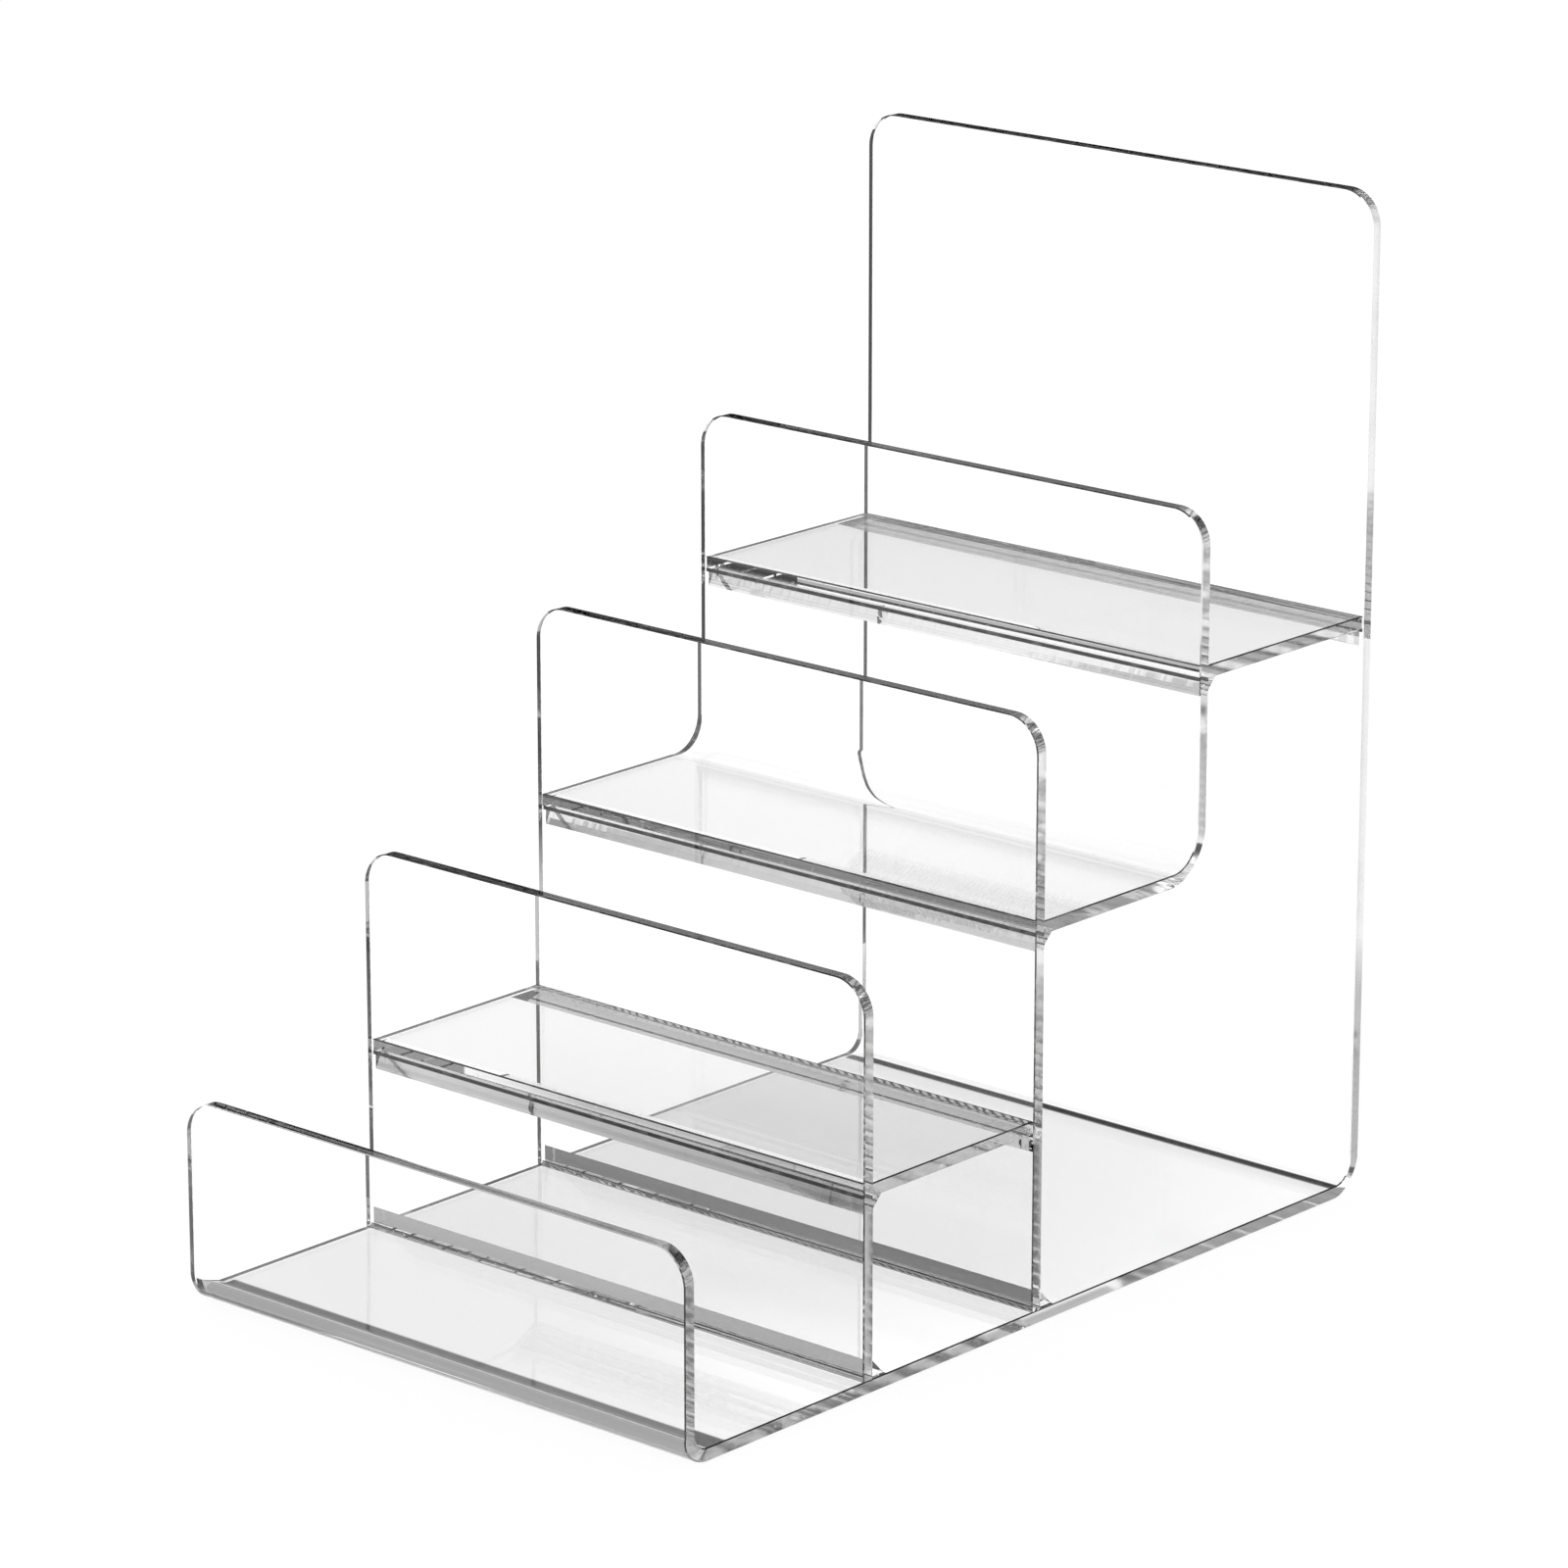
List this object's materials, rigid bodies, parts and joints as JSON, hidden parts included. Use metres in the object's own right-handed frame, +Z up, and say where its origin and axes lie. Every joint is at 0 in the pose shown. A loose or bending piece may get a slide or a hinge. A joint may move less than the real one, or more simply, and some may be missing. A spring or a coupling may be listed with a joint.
{
  "type": "acrylic display riser",
  "caption": "Clear stepped display stand glued up from bent and flat acrylic sheet, with a raised lip on every step and a tall back panel.",
  "frame": {"origin": "middle of the underside of the base, half way across the width and the depth", "axes": "+X to the right as seen from the front, +Y from the front lip to the back panel, +Z up"},
  "size_m": [0.144, 0.224, 0.2283],
  "materials": {
    "clear_acrylic": "clear, gloss faces and polished edges",
    "clear_acrylic_strip": "clear, gloss legs and a sawn slanting face"
  },
  "bodies": {
    "root": {"base_and_back_sheet": "clear_acrylic", "tier_2_riser": "clear_acrylic", "tier_2_shelf": "clear_acrylic", "tier_3_riser": "clear_acrylic", "tier_3_shelf_and_tier_4_riser": "clear_acrylic", "tier_4_shelf": "clear_acrylic", "tier_2_riser_base_strip": "clear_acrylic_strip", "tier_3_riser_base_strip": "clear_acrylic_strip", "tier_2_shelf_front_strip": "clear_acrylic_strip", "tier_2_shelf_rear_strip": "clear_acrylic_strip", "tier_3_shelf_front_strip": "clear_acrylic_strip", "tier_4_shelf_front_strip": "clear_acrylic_strip", "tier_4_shelf_rear_strip": "clear_acrylic_strip"}
  },
  "joints": []
}
